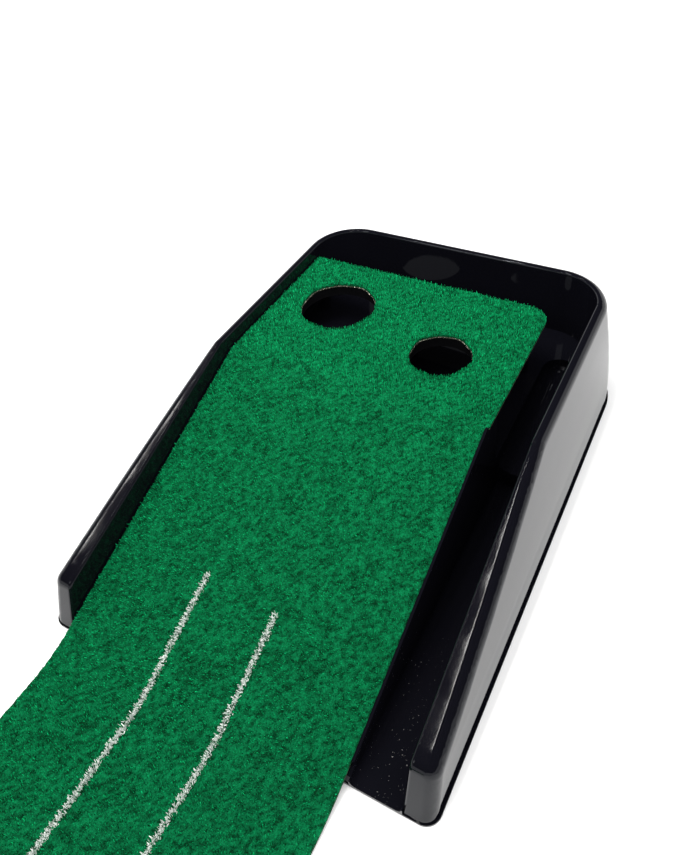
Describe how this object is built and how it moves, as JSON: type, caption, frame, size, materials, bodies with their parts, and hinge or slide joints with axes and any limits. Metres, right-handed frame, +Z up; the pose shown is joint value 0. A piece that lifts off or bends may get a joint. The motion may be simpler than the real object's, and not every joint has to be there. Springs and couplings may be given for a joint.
{
  "type": "practice putting mat",
  "caption": "Indoor practice putting mat: a strip of artificial turf climbs a ramp to a deck with cup holes in an open-fronted tray that returns the ball along a side channel.",
  "frame": {"origin": "on the floor, on the turf strip's centre line, at the foot of the ramp's surface, 5 mm behind the tray's front edge", "axes": "+Z up; +Y from the ramp towards the back of the tray, along the strip; +X towards the ball return channel"},
  "size_m": [0.4144, 2.8044, 0.1455],
  "materials": {
    "black_plastic": "gloss",
    "deck_plastic": "satin",
    "screw_steel": "zinc plated",
    "hook_tape": "matte",
    "loop_tape": "matte",
    "backing_latex": "matte",
    "turf_green": "cut pile"
  },
  "bodies": {
    "tray": {"tray": "black_plastic", "cup_deck": "deck_plastic", "deck_screws": "screw_steel", "hook_strips_ramp": "hook_tape", "hook_strips_deck": "hook_tape"},
    "turf": {"loop_strips_ramp": "loop_tape", "loop_strips_deck": "loop_tape", "turf_backing_deck": "backing_latex", "turf_backing_ramp": "backing_latex", "turf_backing_floor": "backing_latex", "turf_pile_deck": "turf_green", "turf_pile_ramp": "turf_green", "turf_pile_floor": "turf_green"}
  },
  "joints": [
    {"name": "turf_lift_off", "type": "slide", "parent": "tray", "child": "turf", "axis": [0, 0, 1], "range_m": [0, 0.15]}
  ]
}
